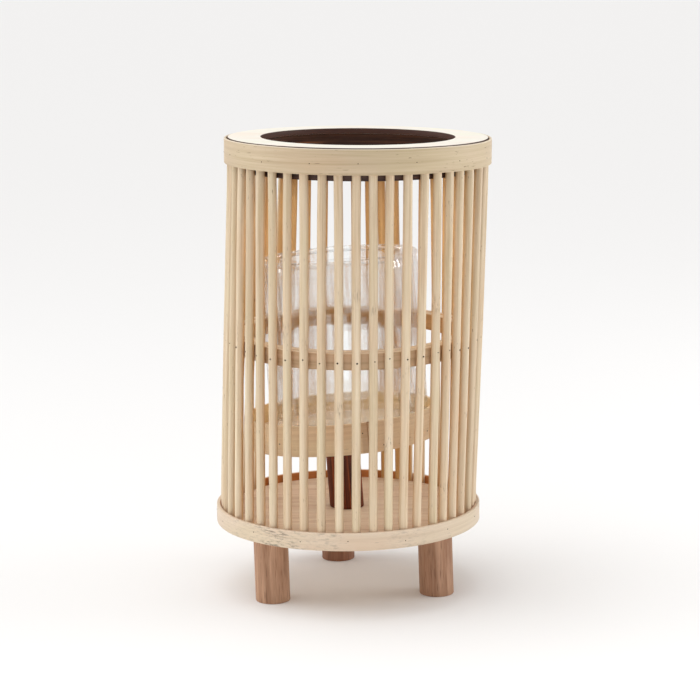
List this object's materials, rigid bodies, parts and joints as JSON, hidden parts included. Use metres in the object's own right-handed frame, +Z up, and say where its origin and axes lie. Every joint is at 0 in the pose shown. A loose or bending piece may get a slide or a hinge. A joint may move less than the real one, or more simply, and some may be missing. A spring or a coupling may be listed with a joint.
{
  "type": "slat lantern",
  "caption": "Round bamboo slat lantern on three short legs, with a clear glass candle jar standing on a raised tray inside an open-topped cage.",
  "frame": {"origin": "on the ground under the middle of the lantern's box", "axes": "+Z up; -Y is the front, between the two front legs; +X to the right"},
  "size_m": [0.2012, 0.1926, 0.3311],
  "materials": {
    "grey_bamboo": "satin",
    "pale_bamboo": "satin",
    "dark_bamboo": "satin",
    "pale_wood": "matte",
    "base_wood": "matte",
    "leg_wood": "matte",
    "post_wood": "satin",
    "clear_glass": "polished",
    "zinc_steel": "satin"
  },
  "bodies": {
    "lantern": {"bottom_band": "pale_bamboo", "crown_plate": "pale_wood", "crown_outer_hoop": "grey_bamboo", "crown_inner_hoop": "dark_bamboo", "middle_hoop": "grey_bamboo", "middle_hoop_lining": "grey_bamboo", "base_disc": "base_wood", "leg_front_left": "leg_wood", "leg_front_right": "leg_wood", "leg_rear": "leg_wood", "post": "post_wood", "post_screw": "zinc_steel", "tray_disc": "base_wood", "tray_hoop": "grey_bamboo", "tray_screw": "zinc_steel", "leg_front_left_nail_1": "zinc_steel", "leg_front_left_nail_2": "zinc_steel", "leg_front_right_nail_1": "zinc_steel", "leg_front_right_nail_2": "zinc_steel", "leg_rear_nail_1": "zinc_steel", "leg_rear_nail_2": "zinc_steel", "slat_pair_01": "grey_bamboo", "slat_pair_02": "grey_bamboo", "slat_pair_03": "grey_bamboo", "slat_pair_04": "grey_bamboo", "slat_pair_05": "grey_bamboo", "slat_pair_06": "grey_bamboo", "slat_pair_07": "grey_bamboo", "slat_pair_08": "grey_bamboo", "slat_pair_09": "grey_bamboo", "slat_pair_10": "grey_bamboo", "slat_pair_11": "grey_bamboo", "slat_pair_12": "grey_bamboo", "slat_pair_13": "grey_bamboo", "slat_pair_14": "grey_bamboo", "slat_pair_15": "grey_bamboo", "slat_pair_16": "grey_bamboo", "slat_pair_17": "grey_bamboo", "slat_pair_18": "grey_bamboo", "slat_pair_19": "grey_bamboo", "slat_pair_20": "grey_bamboo", "slat_pair_21": "grey_bamboo", "slat_pair_22": "grey_bamboo", "slat_pair_23": "grey_bamboo", "slat_pair_24": "grey_bamboo"},
    "jar": {"glass_jar": "clear_glass"}
  },
  "joints": [
    {"name": "jar_lift", "type": "slide", "parent": "lantern", "child": "jar", "axis": [0.0797, 0, 0.9968], "range_m": [0, 0.22]}
  ]
}
